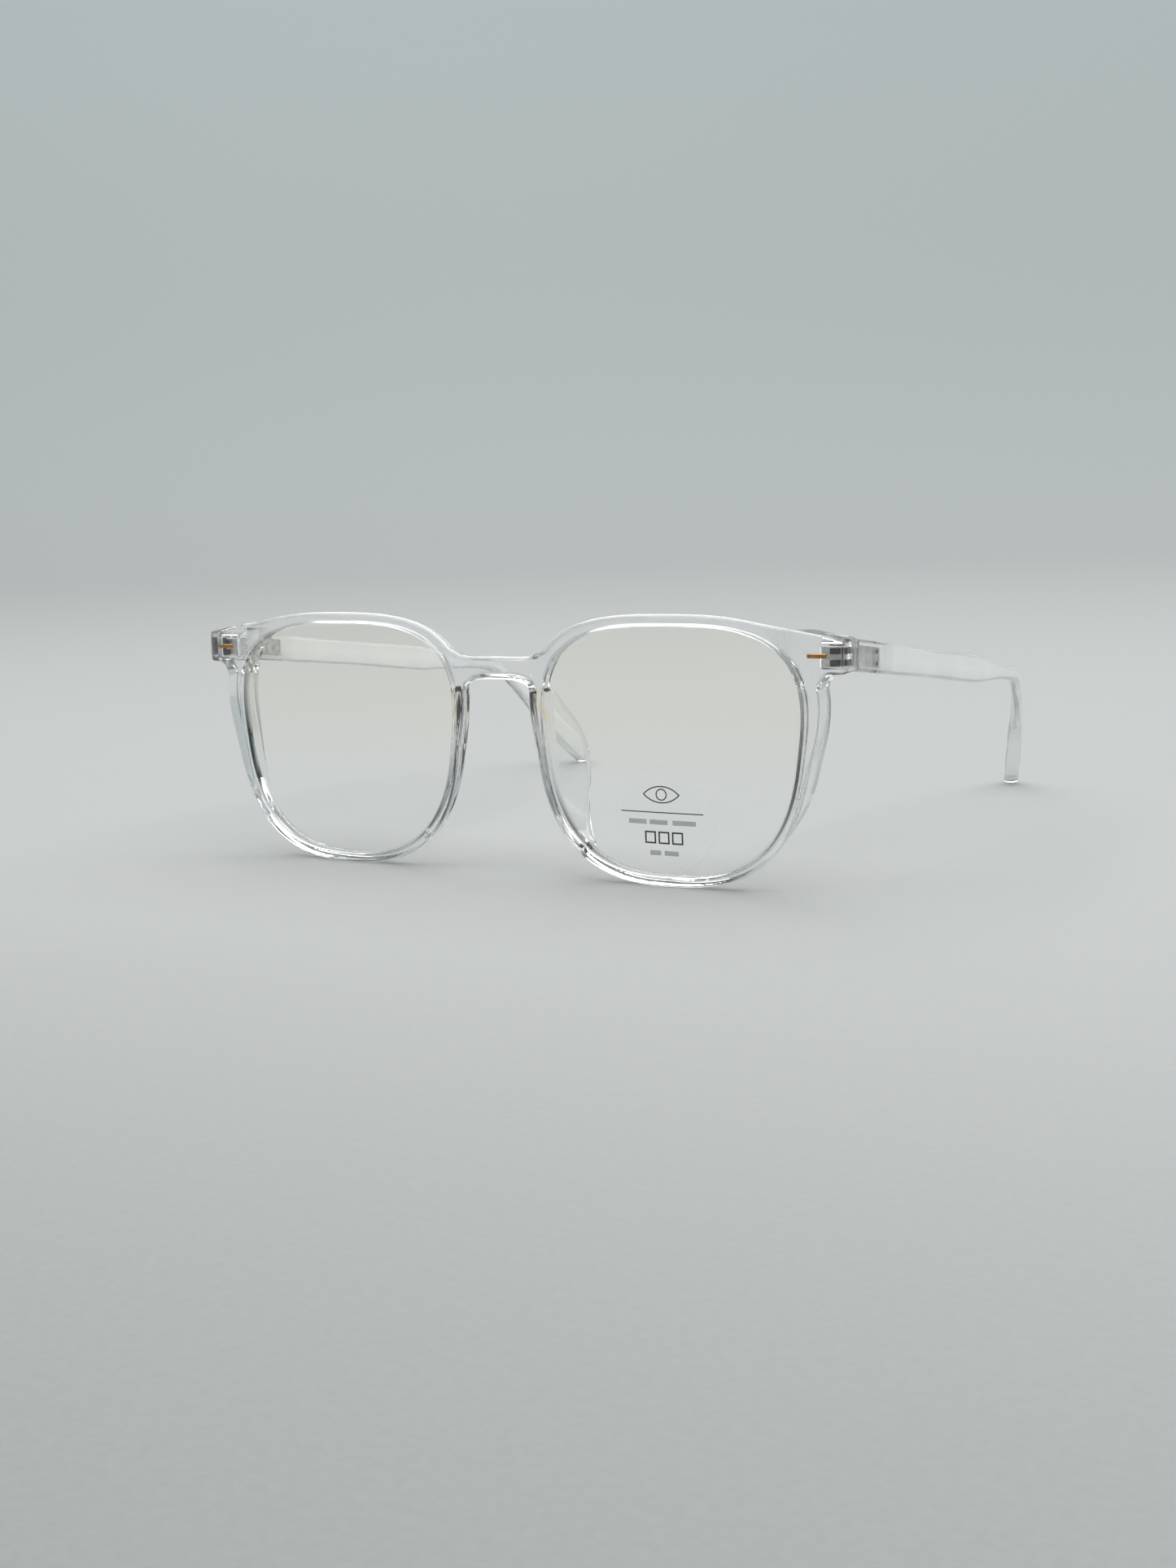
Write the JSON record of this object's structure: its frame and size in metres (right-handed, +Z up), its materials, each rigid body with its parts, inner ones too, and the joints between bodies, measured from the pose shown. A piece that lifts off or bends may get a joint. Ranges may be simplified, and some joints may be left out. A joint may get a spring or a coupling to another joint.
{
  "type": "blue light glasses",
  "caption": "Clear plastic full-rim glasses with two slightly tinted lenses, moulded nose pads and two temples that fold on screw hinges.",
  "frame": {"origin": "on the table, in the middle of the glasses' footprint: midway between the two sides and midway between the front face and the temple tips, at the height of the rim feet and temple tips", "axes": "+X to the wearer's left, +Y from the front back along the temples, +Z up"},
  "size_m": [0.138, 0.142, 0.0495],
  "materials": {
    "clear_plastic": "polished clear plastic",
    "tinted_lens": "polished, coated against reflections, faint warm tint in its upper half",
    "hinge_steel": "stamped grey metal",
    "screw_steel": "turned steel",
    "gold": "satin, rose gold colour",
    "label_film": null
  },
  "bodies": {
    "front": {"front_frame": "clear_plastic", "lens_left": "tinted_lens", "lens_right": "tinted_lens", "lens_label": "label_film", "gold_bar_left": "gold", "gold_bar_right": "gold", "hinge_front_leaf_left": "hinge_steel", "hinge_front_leaf_right": "hinge_steel", "hinge_screw_left": "screw_steel", "hinge_screw_right": "screw_steel"},
    "temple_left": {"temple_left": "clear_plastic", "hinge_temple_leaf_left": "hinge_steel"},
    "temple_right": {"temple_right": "clear_plastic", "hinge_temple_leaf_right": "hinge_steel"}
  },
  "joints": [
    {"name": "temple_left_fold", "type": "hinge", "parent": "front", "child": "temple_left", "pos_m": [0.065, -0.06264, 0.042], "axis": [0, 0, 1], "range_deg": [0, 88]},
    {"name": "temple_right_fold", "type": "hinge", "parent": "front", "child": "temple_right", "pos_m": [-0.065, -0.06264, 0.042], "axis": [0, 0, -1], "range_deg": [0, 80]}
  ]
}
